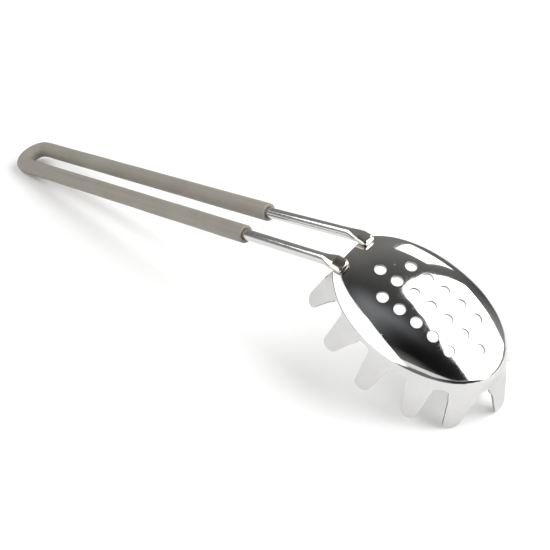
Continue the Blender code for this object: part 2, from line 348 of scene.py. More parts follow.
def tab_points(side):
    """Start and end of the flat's centre line on one side, and the skin's normal there."""
    normal = dome_normal(TAB_END, side * TAB_OFFSET)
    ends = [from_head(along, side * TAB_OFFSET, dome_height(along, side * TAB_OFFSET))
            + dome_normal(along, side * TAB_OFFSET) * (TAB_LIFT + TAB_HALF_HEIGHT)
            for along in (TAB_START, TAB_END)]
    return ends[0], ends[1], normal


def arm_sections(side):
    """All rings of a bare arm, from the sleeve's mouth to the flat's rounded end."""
    start, end, flat_up = tab_points(side)
    start += flat_up * TAB_WEDGE
    deep = TAB_HALF_HEIGHT + TAB_WEDGE
    leave = Vector((GRIP_REACH, side * ARM_HALF_SPACING, 0.0))
    run_in = start - (start - leave).normalized() * TAB_RUN_IN
    rings = [round_section(leave.lerp(run_in, step / ARM_RINGS))
             for step in range(ARM_RINGS + 1)]
    for step in range(1, RUN_IN_RINGS + 1):
        flat = smooth(step / RUN_IN_RINGS)
        up = ARM_UP.lerp(flat_up, flat).normalized()
        rings.append(section(run_in.lerp(start, step / RUN_IN_RINGS), turned_side(up), up,
                             WIRE_RADIUS + (TAB_HALF_WIDTH - WIRE_RADIUS) * flat,
                             WIRE_RADIUS + (deep - WIRE_RADIUS) * flat,
                             ROUND + (TAB_SQUARENESS - ROUND) * flat))
    length = (end - start).length
    for step in range(1, FLAT_RINGS + 1):
        share = step / FLAT_RINGS
        nose = max(0.0, (length * share - (length - TAB_NOSE)) / TAB_NOSE)
        rings.append(section(start.lerp(end, share), turned_side(flat_up), flat_up,
                             TAB_HALF_WIDTH * (1.0 - NOSE_NARROWS * nose ** 2.5),
                             (deep - TAB_WEDGE * share) * (1.0 - NOSE_THINS * nose ** 4),
                             TAB_SQUARENESS))
    return rings


# %% Spin the bend, then extrude both arms ring by ring
def extrude_to(piece, before, after):
    """Extrude the selected ring once; the point at before[i] goes to after[i]."""
    bpy.ops.mesh.extrude_edges_move()
    mesh = bmesh.from_edit_mesh(piece.data)
    for vertex in [vertex for vertex in mesh.verts if vertex.select]:
        nearest = min(range(len(before)),
                      key=lambda index: (vertex.co - before[index]).length_squared)
        vertex.co = after[nearest]
    bmesh.update_edit_mesh(piece.data)


wire = start_ring("hairpin_wire", WIRE_RADIUS, WIRE_SIDES)
wire.data.transform(Matrix.Translation((0.0, -ARM_HALF_SPACING, 0.0))
                    @ Matrix.Rotation(math.pi / WIRE_SIDES, 4, "X")
                    @ Matrix.Translation((0.0, ARM_HALF_SPACING, 0.0)))
spin_bend(wire)
for arm_side in (-1.0, 1.0):
    select_arm_end(wire, arm_side)
    last_ring = round_section(ARM_SIDE * (arm_side * ARM_HALF_SPACING))
    for next_ring in arm_sections(arm_side):
        extrude_to(wire, last_ring, next_ring)
        last_ring = next_ring
    bpy.ops.mesh.edge_face_add()
make_normals_outward(wire, Vector((-ARM_HALF_SPACING, 0.0, 0.0)))
apply_modifier(wire, "BEVEL", width=0.3, segments=4, limit_method="ANGLE",
               angle_limit=math.radians(60))
work_on(wire)
bpy.ops.object.shade_smooth_by_angle(angle=math.radians(40))
print("wire ends at x =", round(max(vertex.co.x for vertex in wire.data.vertices), 2))

# %% [markdown]
# ## The pressed bowl
# A press turns a flat blank into the bowl: every point of the blank has one place in the
# finished shape. The model does the same. The blank is a grid like graph paper, with one
# column for each place round the rim and one row for each distance from the crown. The
# squares between the tines and behind the straight back edge are cut away, and then each
# corner of the squares is moved to where the press puts it. A subdivided cage would have been
# quicker, but a mirror finish shows every uneven facet, and a formula has none.

# %% Layout of the tines round the rim, millimetres
TINE_FLARE = math.radians(20.5)
TINE_TIP_WIDTH = 6.3
TINE_FLATTEN = 4.0
GAP_ROUND = 1.6
# middle from the nose along the rim, root width, lean to the back, reach below the crease
TINES = ((0.0, 10.5, 0.0, 26.9), (15.6, 12.4, 3.1, 24.9), (33.4, 11.0, -0.8, 23.4),
         (51.6, 10.2, 1.0, 22.3), (68.9, 12.2, 2.8, 20.3), (87.9, 12.4, 2.2, 20.7))
GAP_DEPTHS = (6.0, 3.4, 3.2, 1.8, 0.8)

# %% How finely the blank is ruled
TINE_COLUMNS = 14
GAP_COLUMNS = 10
BACK_COLUMNS = 30
DOME_ROWS = 34
CREASE_ROWS = 7
BAND_ROWS = 2
TINE_ROWS = 26
DOME_END = DOME_ROWS
CREASE_END = DOME_END + CREASE_ROWS
BAND_END = CREASE_END + BAND_ROWS
LAST_ROW = BAND_END + TINE_ROWS


# %% Walk along the rim's ellipse
def rim_walk(steps=1440):
    walk = [(0.0, 0.0)]
    last = Vector((RIM_HALF_LENGTH, 0.0))
    for step in range(1, steps + 1):
        angle = math.pi * step / steps
        point = Vector((RIM_HALF_LENGTH * math.cos(angle), RIM_HALF_WIDTH * math.sin(angle)))
        walk.append((walk[-1][0] + (point - last).length, angle))
        last = point
    return walk


RIM_WALK = rim_walk()
print("half of the rim is", round(RIM_WALK[-1][0], 1), "mm long")


def rim_angle(distance):
    wanted = abs(distance)
    for (before, angle_before), (after, angle_after) in zip(RIM_WALK, RIM_WALK[1:]):
        if wanted <= after:
            share = (wanted - before) / (after - before)
            return math.copysign(angle_before + share * (angle_after - angle_before), distance)
    return math.copysign(math.pi, distance)


def rim_point(distance):
    """A rim point in the bowl's plane, its outward direction, and its angle."""
    angle = rim_angle(distance)
    point = Vector((RIM_CENTRE + RIM_HALF_LENGTH * math.cos(angle),
                    RIM_HALF_WIDTH * math.sin(angle)))
    outward = Vector((math.cos(angle) / RIM_HALF_LENGTH, math.sin(angle) / RIM_HALF_WIDTH))
    return point, outward.normalized(), angle


# %% The skirt and its tines
def band_point(distance, depth):
    """A point of the flared skirt, this far below the crease."""
    point, outward, _ = rim_point(distance)
    place = point + outward * (math.sin(TINE_FLARE) * depth)
    return from_head(place.x, place.y, dome_height(*point) - math.cos(TINE_FLARE) * depth)


def root_depth(tine, share):
    first, last = tine["depths"]
    return first + (last - first) * (share + 1.0) / 2


def tine_point(tine, share, down):
    """A point of a tine; share is -1 to 1 across it and down is 0 to 1 from root to tip."""
    root = root_depth(tine, share)
    radius = TINE_TIP_WIDTH / 2
    straight_end = tine["reach"] - radius
    depth = root + (tine["reach"] - root) * down
    bulge = max(0.0, (depth - straight_end) / radius)
    squeeze = math.sqrt(1.0 - bulge * bulge / 2)
    if bulge > 0.0:
        depth = straight_end + radius * bulge * math.sqrt(1.0 - share * share / 2)
    below = (depth - root) / (tine["reach"] - root)
    half = (tine["width"] + (TINE_TIP_WIDTH - tine["width"]) * below) / 2 * squeeze
    _, outward, _ = rim_point(tine["middle"])
    sideways = HEAD_SIDE * outward.x - HEAD_ALONG * outward.y
    curved = band_point(tine["middle"] + share * tine["width"] / 2, depth)
    flat = band_point(tine["middle"], depth) + sideways * (share * half + tine["lean"] * below)
    return curved.lerp(flat, smooth((depth - root) / TINE_FLATTEN))


def mirrored_tines():
    """All eleven tines from the -Y side, round the nose, to the +Y side."""
    tines = []
    for number in range(-len(TINES) + 1, len(TINES)):
        sign = -1.0 if number < 0 else 1.0
        middle, width, lean, reach = TINES[abs(number)]
        depths = [GAP_DEPTHS[min(gap, len(GAP_DEPTHS) - 1)] + GAP_ROUND
                  for gap in (max(abs(number) - 1, 0), abs(number))]
        if sign < 0:
            depths.reverse()
        tines.append({"middle": sign * middle, "width": width, "lean": sign * lean,
                      "reach": reach, "depths": depths})
    return tines


# %% One entry for each column of the blank
def spread(step, steps):
    """-1 to 1 in even steps that close up a little towards both ends."""
    even = 2.0 * step / steps - 1.0
    return 0.6 * even - 0.4 * math.cos(math.pi * step / steps)


def rule_columns():
    columns = []
    tines = mirrored_tines()
    for tine, following in zip(tines, tines[1:] + [None]):
        for step in range(TINE_COLUMNS + 1):
            share = spread(step, TINE_COLUMNS)
            columns.append({"distance": tine["middle"] + share * tine["width"] / 2,
                            "band": root_depth(tine, share), "tine": tine, "share": share})
        if following:
            start = tine["middle"] + tine["width"] / 2
            end = following["middle"] - following["width"] / 2
            for step in range(1, GAP_COLUMNS):
                share = spread(step, GAP_COLUMNS)
                columns.append({"distance": start + (share + 1.0) / 2 * (end - start),
                                "band": tine["depths"][1]
                                - GAP_ROUND * math.sqrt(1.0 - share * share)})
    corner = rim_point(columns[-1]["distance"])[0]
    for step in range(1, BACK_COLUMNS):
        columns.append({"back": corner.y * (1.0 - 2.0 * step / BACK_COLUMNS)})
    return columns


COLUMNS = rule_columns()
FIRST_BACK = next(index for index, column in enumerate(COLUMNS) if "back" in column) - 1
print(len(COLUMNS), "columns and", LAST_ROW, "rows")


# %% Profile of the crease between dome and skirt
BACK_CREASE = 0.45
NOSE_CREASE = 1.9


def crease_reach(angle):
    """How far the rounding of the crease reaches to both sides, widest at the nose."""
    return BACK_CREASE + (NOSE_CREASE - BACK_CREASE) * ((1.0 + math.cos(angle)) / 2) ** 1.5


def crease_profile(distance):
    """Start on the dome, corner and end on the skirt, as (outward, height) from the rim."""
    point, outward, angle = rim_point(distance)
    reach = crease_reach(angle)
    inner = point - outward * reach
    step = 0.05
    further = inner - outward * step
    height = dome_height(*inner) - dome_height(*point)
    slope = (dome_height(*inner) - dome_height(*further)) / step
    steepness = math.tan(math.pi / 2 - TINE_FLARE)
    corner = (height + slope * reach) / (-steepness - slope)
    end = reach + abs(corner)
    return (Vector((-reach, height)), Vector((corner, -steepness * corner)),
            Vector((math.sin(TINE_FLARE) * end, -math.cos(TINE_FLARE) * end)), end)


def crease_point(distance, share):
    """A point on the rounded crease, drawn as one arc that is tangent to both sides."""
    start, corner, end, _ = crease_profile(distance)
    first = (start - corner).normalized()
    second = (end - corner).normalized()
    weight = math.sqrt(max(0.0, (1.0 - first.dot(second)) / 2))
    parts = ((1.0 - share) ** 2, 2.0 * share * (1.0 - share) * weight, share ** 2)
    blend = (start * parts[0] + corner * parts[1] + end * parts[2]) / sum(parts)
    point, outward, _ = rim_point(distance)
    place = point + outward * blend.x
    return from_head(place.x, place.y, dome_height(*point) + blend.y)


# %% Where the press puts each corner of the blank
def dome_edge(column):
    if "back" in column:
        return Vector((BACK_CUT, column["back"]))
    point, outward, angle = rim_point(column["distance"])
    return point - outward * crease_reach(angle)


def pressed(column, row):
    if row <= DOME_END:
        size = 1.0 - (1.0 - row / DOME_ROWS) ** 1.3
        edge = dome_edge(column)
        place = Vector((RIM_CENTRE, 0.0)).lerp(edge, size)
        return from_head(place.x, place.y, dome_height(place.x, place.y))
    if row <= CREASE_END:
        return crease_point(column["distance"], (row - DOME_END) / CREASE_ROWS)
    start = crease_profile(column["distance"])[3]
    if row <= BAND_END:
        share = (row - CREASE_END) / BAND_ROWS
        return band_point(column["distance"], start + (column["band"] - start) * share)
    return tine_point(column["tine"], column["share"], (row - BAND_END) / TINE_ROWS)


# %% Cut the blank
def square_is_kept(column, row):
    """Whether the square right of this column and below this row is part of the blank."""
    if row < DOME_END:
        return True
    if column >= FIRST_BACK:
        return False
    return row < BAND_END or ("tine" in COLUMNS[column] and "tine" in COLUMNS[column + 1]
                              and COLUMNS[column]["tine"] is COLUMNS[column + 1]["tine"])


deselect_all()
bpy.ops.mesh.primitive_grid_add(x_subdivisions=len(COLUMNS), y_subdivisions=LAST_ROW, size=2.0)
bowl = bpy.context.object
bowl.name = bowl.data.name = "pressed_bowl"
edit(bowl)
bpy.ops.mesh.select_all(action="SELECT")
bpy.ops.transform.translate(value=(1.0, 1.0, 0.0))
bpy.ops.transform.resize(value=(len(COLUMNS) / 2, LAST_ROW / 2, 1.0), center_override=(0, 0, 0))
bpy.ops.mesh.select_mode(type="FACE")
bpy.ops.mesh.select_all(action="DESELECT")
blank = bmesh.from_edit_mesh(bowl.data)
for square in blank.faces:
    middle_of_square = square.calc_center_median()
    square.select = not square_is_kept(int(middle_of_square.x), int(middle_of_square.y))
bmesh.update_edit_mesh(bowl.data)
bpy.ops.mesh.delete(type="FACE")
print("blank:", len(blank.faces), "squares kept")

# %% Press it
edit(bowl)
blank = bmesh.from_edit_mesh(bowl.data)
for corner_point in blank.verts:
    column_number = round(corner_point.co.x) % len(COLUMNS)
    corner_point.co = pressed(COLUMNS[column_number], round(corner_point.co.y))
bmesh.update_edit_mesh(bowl.data)
make_normals_outward(bowl, HEAD_ORIGIN - HEAD_UP * 4.0)
for finish_name in STEELS:
    bowl.data.materials.append(bpy.data.materials.new(finish_name))
apply_modifier(bowl, "SOLIDIFY", thickness=SHEET, offset=-1.0, use_even_offset=True,
               material_offset_rim=1)
apply_modifier(bowl, "BEVEL", width=0.14, segments=3, limit_method="ANGLE",
               angle_limit=math.radians(50), use_clamp_overlap=False)
print("bowl before punching:", len(bowl.data.polygons), "faces")

# %% [markdown]
# ## Punching the holes
# A punch leaves a soft edge where it enters and a sharp one where it leaves. One punch is
# modelled with a small flare where it meets the outer skin, copied to each of the 17 places
# and turned to stand square on the skin there. All are joined and taken out of the bowl with
# one Boolean, and the walls that they leave keep the duller finish of sheared steel.

# %% One punch
PUNCH_SIDES = 48
PUNCH_EDGE = 0.26       # radius of the drawn-in edge
PUNCH_SWEEP = math.radians(68)
PUNCH_EDGE_STEPS = 6
PUNCH_DEPTH = 3.0       # below the outer skin
PUNCH_FLARE = 1.2       # length of the cone above the rounded edge


def make_punch():
    """A pin along Z whose flare meets the skin at height 0."""
    deselect_all()
    bpy.ops.mesh.primitive_circle_add(vertices=PUNCH_SIDES, radius=HOLE_DIAMETER / 2,
                                      fill_type="NGON", location=(0.0, 0.0, -PUNCH_DEPTH))
    punch = bpy.context.object
    for name in STEELS:
        punch.data.materials.append(bpy.data.materials[name])
    bpy.ops.object.transform_apply(location=True, rotation=True, scale=True)
    edit(punch)
    bpy.ops.mesh.select_all(action="SELECT")
    bpy.ops.mesh.extrude_region_move(
        TRANSFORM_OT_translate={"value": (0.0, 0.0, PUNCH_DEPTH - PUNCH_EDGE)})
    radius, height = HOLE_DIAMETER / 2, -PUNCH_EDGE
    outline = []
    for step in range(1, PUNCH_EDGE_STEPS + 1):
        angle = PUNCH_SWEEP * step / PUNCH_EDGE_STEPS
        outline.append((HOLE_DIAMETER / 2 + PUNCH_EDGE * (1.0 - math.cos(angle)),
                        -PUNCH_EDGE + PUNCH_EDGE * math.sin(angle)))
    outline.append((outline[-1][0] + PUNCH_FLARE * math.sin(PUNCH_SWEEP),
                    outline[-1][1] + PUNCH_FLARE * math.cos(PUNCH_SWEEP)))
    for next_radius, next_height in outline:
        bpy.ops.mesh.extrude_region_move(
            TRANSFORM_OT_translate={"value": (0.0, 0.0, next_height - height)})
        bpy.ops.transform.resize(value=(next_radius / radius, next_radius / radius, 1.0),
                                 center_override=(0.0, 0.0, next_height))
        radius, height = next_radius, next_height
    object_mode()
    make_normals_outward(punch, Vector((0.0, 0.0, -PUNCH_DEPTH / 2)))
    for wall in punch.data.polygons:
        wall.material_index = 1
    return punch


# %% Copy the punch to every hole and cut
def punch_holes(piece):
    punch = make_punch()
    copies = []
    for along, across in HOLES:
        copy = punch.copy()
        copy.data = punch.data.copy()
        bpy.context.scene.collection.objects.link(copy)
        place = from_head(along, across, dome_height(along, across))
        turn = dome_normal(along, across).to_track_quat("Z", "Y").to_matrix().to_4x4()
        copy.matrix_world = Matrix.Translation(place) @ turn
        copies.append(copy)
    bpy.data.objects.remove(punch)
    deselect_all()
    for copy in copies:
        copy.select_set(True)
    bpy.context.view_layer.objects.active = copies[0]
    bpy.ops.object.join()
    punches = bpy.context.object
    apply_modifier(piece, "BOOLEAN", operation="DIFFERENCE", solver="EXACT", object=punches)
    bpy.data.objects.remove(punches)


punch_holes(bowl)
print("bowl after punching:", len(bowl.data.polygons), "faces")

# %% [markdown]
# ## True normals for a mirror
# Cutting holes leaves thin, uneven facets round them, and a mirror would show each one. The
# weighted normals first make the narrow edge roundings shade as roundings. Then every point of
# the domed skin gets the exact normal of the pressing formula, inside and outside.

# %% Give the dome its exact normals
SKIN_TOLERANCE = 0.03
DOME_SHARE = 0.955      # the dome's smooth part reaches this far towards the rim
BACK_MARGIN = 0.25


def in_head(point):
    """A point in the bowl's own frame: along, across and height."""
    away = point - HEAD_ORIGIN
    return Vector((away.dot(HEAD_ALONG), away.dot(HEAD_SIDE), away.dot(HEAD_UP)))


def is_inside_crease(place):
    away = Vector(((place.x - RIM_CENTRE) / RIM_HALF_LENGTH, place.y / RIM_HALF_WIDTH))
    return away.length < DOME_SHARE and place.x > BACK_CUT + BACK_MARGIN


def skin_normal(point):
    """The formula's normal where a point lies on the outer or inner skin, else None."""
    place = in_head(point)
    if not is_inside_crease(place):
        return None
    if abs(place.z - dome_height(place.x, place.y)) < SKIN_TOLERANCE:
        return dome_normal(place.x, place.y)
    foot = place
    for _ in range(4):
        normal = dome_normal(foot.x, foot.y)
        foot = in_head(point + normal * SHEET)
    if abs(foot.z - dome_height(foot.x, foot.y)) < SKIN_TOLERANCE:
        return -normal
    return None


def give_skin_normals(piece):
    mesh = piece.data
    known = [skin_normal(vertex.co) for vertex in mesh.vertices]
    normals = [Vector(corner.vector) for corner in mesh.corner_normals]
    changed = 0
    for face in mesh.polygons:
        on_skin = all(known[index] is not None for index in face.vertices)
        if not on_skin:
            continue
        for loop_index in face.loop_indices:
            normal = known[mesh.loops[loop_index].vertex_index]
            if normal.dot(face.normal) > 0.8:
                normals[loop_index] = normal
                changed += 1
    mesh.normals_split_custom_set(normals)
    return changed


work_on(bowl)
bpy.ops.object.shade_smooth_by_angle(angle=math.radians(35))
apply_modifier(bowl, "WEIGHTED_NORMAL", keep_sharp=True, weight=80)
print("corners with exact normals:", give_skin_normals(bowl))

# %% Lay the three pieces down
lay_down(grip, "grip_sleeve")
lay_down(wire, "handle_wire")
lay_down(bowl, "slotted_head")

# %% [markdown]
# ## Shared surface effects
# Polished steel, drawn wire and silicone look real through small faults: hairline scratches,
# wiped smudges, waviness and dust; a painted highlight lies along convex edges. Each effect is
# one node group with named inputs and outputs, built once and placed in every finish with its
# own values. A group only gives masks and heights. All of them read the pieces' Object
# coordinates, in metres.


# %% Helpers for building nodes
def put(tree, kind, inputs=None, **settings):
    """Add a shader node, set its options, and link or fill its inputs."""
    made = tree.nodes.new("ShaderNode" + kind)
    for name, value in settings.items():
        setattr(made, name, value)
    for socket, value in (inputs or {}).items():
        if isinstance(value, bpy.types.NodeSocket):
            tree.links.new(value, made.inputs[socket])
        else:
            made.inputs[socket].default_value = value
    return made


def new_group(name, inputs, outputs):
    """An empty node group; inputs are name: default, outputs are names of float sockets."""
    group = bpy.data.node_groups.new(name, "ShaderNodeTree")
    for socket, value in inputs.items():
        kind = "NodeSocketVector" if value is None else "NodeSocketFloat"
        made = group.interface.new_socket(socket, in_out="INPUT", socket_type=kind)
        if value is not None:
            made.default_value = value
    for socket in outputs:
        group.interface.new_socket(socket, in_out="OUTPUT", socket_type="NodeSocketFloat")
    start = group.nodes.new("NodeGroupInput")
    end = group.nodes.new("NodeGroupOutput")
    return group, start.outputs, end


def scaled(tree, vector, factors, turn=(0.0, 0.0, 0.0)):
    """The vector turned and then scaled by a different factor along each axis."""
    turned = put(tree, "VectorRotate", {"Vector": vector, "Rotation": turn},
                 rotation_type="EULER_XYZ").outputs[0]
    return put(tree, "VectorMath", {0: turned, 1: factors},
               operation="MULTIPLY").outputs[0]


def remap(tree, value, low, high, to_low=0.0, to_high=1.0):
    return put(tree, "MapRange", {"Value": value, "From Min": low, "From Max": high,
                                            "To Min": to_low, "To Max": to_high}).outputs[0]


def maths(tree, operation, first, second=0.0):
    return put(tree, "Math", {0: first, 1: second}, operation=operation).outputs[0]


def noise(tree, vector, scale, detail=2.0, roughness=0.5):
    return put(tree, "TexNoise", {"Vector": vector, "Scale": scale, "Detail": detail,
                                            "Roughness": roughness}).outputs["Fac"]


# %% Hairline scratches
def build_scratches():
    """Short fine lines in several directions; Amount is how many show."""
    group, given, end = new_group("hairline scratches", {"Position": None, "Amount": 0.5},
                                  ("Lines",))
    total = None
    for number, turn in enumerate(((0.3, 0.2, 0.4), (1.1, 0.5, 1.7), (0.6, 1.3, 2.9))):
        vector = scaled(group, given["Position"], (70.0, 2600.0, 2600.0), turn)
        lines = noise(group, vector, 1.0, 1.0)
        threshold = maths(group, "SUBTRACT", 0.79, maths(group, "MULTIPLY", given["Amount"],
                                                         0.12 + 0.01 * number))
        mask = put(group, "MapRange", {"Value": lines, "From Min": threshold,
                                                 "From Max": 0.82}).outputs[0]
        total = mask if total is None else maths(group, "MAXIMUM", total, mask)
    group.links.new(total, end.inputs["Lines"])
    return group


# %% Wiped smudges and waviness
def build_smudges():
    """Broad streaks left by a cloth, as a mask for roughness."""
    group, given, end = new_group("wiped smudges", {"Position": None, "Size": 0.02},
                                  ("Smudge",))
    scale = maths(group, "DIVIDE", 1.0, given["Size"])
    streaks = put(group, "TexNoise",
                  {"Vector": scaled(group, given["Position"], (1.0, 2.6, 2.6), (0.2, 0.3, 0.7)),
                   "Scale": scale, "Detail": 5.0, "Roughness": 0.62,
                   "Distortion": 1.2}).outputs["Fac"]
    group.links.new(remap(group, streaks, 0.42, 0.75), end.inputs["Smudge"])
    return group


def build_waviness():
    """Slow swells that a press or a drawing die leaves, as a height."""
    group, given, end = new_group("rolled waviness", {"Position": None, "Size": 0.015},
                                  ("Height",))
    scale = maths(group, "DIVIDE", 1.0, given["Size"])
    swell = put(group, "TexNoise", {"Vector": given["Position"], "Scale": scale,
                                              "Detail": 1.0}).outputs["Fac"]
    group.links.new(swell, end.inputs["Height"])
    return group


# %% Settled dust and a painted edge highlight
def build_dust():
    """Small specks that lie on upward faces only."""
    group, given, end = new_group("settled dust", {"Position": None, "Amount": 0.3},
                                  ("Specks",))
    cells = put(group, "TexVoronoi", {"Vector": given["Position"], "Scale": 420.0,
                                                "Randomness": 1.0})
    chance = put(group, "SeparateColor", {"Color": cells.outputs["Color"]}).outputs[0]
    chosen = maths(group, "LESS_THAN", chance, maths(group, "MULTIPLY", given["Amount"], 0.4))
    dot = remap(group, cells.outputs["Distance"], 0.05, 0.12, 1.0, 0.0)
    upward = put(group, "SeparateXYZ",
                 {"Vector": put(group, "NewGeometry").outputs["Normal"]}).outputs["Z"]
    facing = remap(group, upward, 0.2, 0.7)
    specks = maths(group, "MULTIPLY", maths(group, "MULTIPLY", chosen, dot), facing)
    group.links.new(specks, end.inputs["Specks"])
    return group


def build_painted_edge_highlight():
    """Painted highlight on convex edges, from pointiness broken up by noise; Reach scales it."""
    group, given, end = new_group("painted edge highlight", {"Position": None, "Reach": 0.5}, ("Edge",))
    point = put(group, "NewGeometry").outputs["Pointiness"]
    edge = remap(group, point, 0.52, 0.62)
    broken = remap(group, noise(group, given["Position"], 900.0, 3.0), 0.35, 0.6)
    # painted highlight: this mask lightens the colour of convex edges in every finish
    edge_highlight_mask = maths(group, "MULTIPLY", maths(group, "MULTIPLY", edge, broken), given["Reach"])
    group.links.new(edge_highlight_mask, end.inputs["Edge"])
    return group


SCRATCHES, SMUDGES, WAVINESS = build_scratches(), build_smudges(), build_waviness()
DUST, EDGE_HIGHLIGHT = build_dust(), build_painted_edge_highlight()
print("shared effects:", sorted(group.name for group in bpy.data.node_groups))


# %% Place a shared effect in a finish
def effect(tree, group, position, **inputs):
    made = tree.nodes.new("ShaderNodeGroup")
    made.node_tree = group
    tree.links.new(position, made.inputs["Position"])
    for socket, value in inputs.items():
        made.inputs[socket].default_value = value
    return made.outputs[0]


def new_finish(name, **constants):
    """A node material with its plain numbers set on the shader's own sockets."""
    finish = bpy.data.materials.get(name) or bpy.data.materials.new(name)
    finish.use_nodes = True
    shader = finish.node_tree.nodes["Principled BSDF"]
    for socket, value in constants.items():
        shader.inputs[socket.replace("_", " ")].default_value = value
    position = put(finish.node_tree, "TexCoord").outputs["Object"]
    return finish, finish.node_tree, shader, position


def mix_colours(tree, mask, first, second):
    made = put(tree, "Mix", {0: mask}, data_type="RGBA")
    for socket, value in ((6, first), (7, second)):
        if isinstance(value, bpy.types.NodeSocket):
            tree.links.new(value, made.inputs[socket])
        else:
            made.inputs[socket].default_value = (*value, 1.0)
    return made.outputs[2]


def plus(tree, base, *masks):
    """The base value with each (mask, amount) added to it."""
    for mask, amount in masks:
        base = maths(tree, "ADD", base, maths(tree, "MULTIPLY", mask, amount))
    return base


def bump(tree, height, distance, below=None):
    """The normal of a height in metres, over another normal where one is given."""
    made = put(tree, "Bump", {"Height": height, "Distance": distance})
    if below is not None:
        tree.links.new(below, made.inputs["Normal"])
    return made.outputs[0]


def connect(tree, shader, colour, rough, normal):
    for socket, value in (("Base Color", colour), ("Roughness", rough), ("Normal", normal)):
        tree.links.new(value, shader.inputs[socket])


# %% [markdown]
# ## Polished pressed steel
# The bowl is buffed to a mirror after pressing. What tells it from chrome is a slight swell in
# the reflections, hairlines from washing up, wiped smudges that dull the shine in patches, and
# a faint straw tint round the two spot welds, where the heat has coloured the steel.

# %% Finish of the bowl
WELD_ALONG = (TAB_START + TAB_END) / 2
WELD_POINTS = [LAY_DOWN @ from_head(WELD_ALONG, across, dome_height(WELD_ALONG, across))
               for across in (-TAB_OFFSET, TAB_OFFSET)]


def weld_heat(tree, position):
    """A mask that fades out round both welds."""
    total = None
    for weld in WELD_POINTS:
        away = put(tree, "VectorMath", {0: position, 1: weld},
                   operation="DISTANCE").outputs["Value"]
        near = remap(tree, away, 0.004, 0.010, 1.0, 0.0)
        total = near if total is None else maths(tree, "MAXIMUM", total, near)
    return total


def build_polished_steel():
    finish, tree, shader, position = new_finish(STEELS[0], Metallic=1.0)
    scratches = effect(tree, SCRATCHES, position, Amount=0.45)
    smudge = effect(tree, SMUDGES, position, Size=0.022)
    specks = effect(tree, DUST, position, Amount=0.12)
    edge = effect(tree, EDGE_HIGHLIGHT, position, Reach=0.5)
    colour = mix_colours(tree, smudge, (0.58, 0.577, 0.572), (0.545, 0.541, 0.532))
    heat = maths(tree, "MULTIPLY", weld_heat(tree, position), 0.30)
    colour = mix_colours(tree, heat, colour, (0.50, 0.42, 0.36))
    # painted highlight: convex edges of the bowl get a lighter steel colour
    colour = mix_colours(tree, edge, colour, (0.72, 0.715, 0.705))
    colour = mix_colours(tree, specks, colour, (0.75, 0.74, 0.72))
    rough = plus(tree, 0.055, (smudge, 0.045), (scratches, 0.10), (specks, 0.5), (edge, 0.10))
    swell = bump(tree, effect(tree, WAVINESS, position, Size=0.011), 0.00003)
    fine = bump(tree, maths(tree, "MULTIPLY", scratches, -1.0), 0.000002, swell)
    connect(tree, shader, colour, rough, fine)
    return finish


# %% Finish of the sheared edges
def build_sheared_edge():
    """Where the sheet was cut: duller and greyer, with fine marks across its thickness."""
    finish, tree, shader, position = new_finish(STEELS[1], Metallic=1.0)
    marks = noise(tree, scaled(tree, position, (900.0, 900.0, 4200.0)), 1.0, 3.0, 0.65)
    edge = effect(tree, EDGE_HIGHLIGHT, position, Reach=0.5)
    colour = mix_colours(tree, marks, (0.26, 0.255, 0.25), (0.44, 0.435, 0.425))
    # painted highlight: convex corners of the cut get a lighter colour
    colour = mix_colours(tree, edge, colour, (0.60, 0.595, 0.585))
    connect(tree, shader, colour, remap(tree, marks, 0.3, 0.7, 0.26, 0.42),
            bump(tree, marks, 0.00002))
    return finish


# %% [markdown]
# ## Drawn wire
# Drawing pulls the wire through a die, so its fine lines run along it. The noise is stretched
# three hundred times along the arms, after a turn that brings them onto the X axis.

# %% Finish of the wire
ARM_WAY = LAY_DOWN.to_3x3() @ (tab_points(1.0)[0] - Vector((GRIP_REACH, ARM_HALF_SPACING, 0.0)))
ARM_TURN = tuple(ARM_WAY.rotation_difference(Vector((1.0, 0.0, 0.0))).to_euler())


def build_drawn_wire():
    finish, tree, shader, position = new_finish("drawn stainless wire", Metallic=1.0)
    along = scaled(tree, position, (14.0, 4200.0, 4200.0), ARM_TURN)
    lines = noise(tree, along, 1.0, 3.0, 0.6)
    smudge = effect(tree, SMUDGES, position, Size=0.012)
    edge = effect(tree, EDGE_HIGHLIGHT, position, Reach=0.6)
    colour = mix_colours(tree, remap(tree, lines, 0.35, 0.7), (0.60, 0.595, 0.585),
                         (0.67, 0.665, 0.655))
    heat = maths(tree, "MULTIPLY", weld_heat(tree, position), 0.45)
    colour = mix_colours(tree, heat, colour, (0.42, 0.37, 0.31))
    # painted highlight: convex edges of the wire get a lighter colour
    colour = mix_colours(tree, edge, colour, (0.75, 0.745, 0.735))
    rough = plus(tree, remap(tree, lines, 0.3, 0.7, 0.08, 0.14), (smudge, 0.06))
    swell = bump(tree, effect(tree, WAVINESS, position, Size=0.006), 0.00003)
    connect(tree, shader, colour, rough, bump(tree, lines, 0.0000015, swell))
    return finish


# %% [markdown]
# ## Matt silicone
# Silicone has no grain of its own. It shows a fine matt skin from the extrusion die, a slightly
# uneven tone, faint lengthwise streaks, and the dust that it always collects.

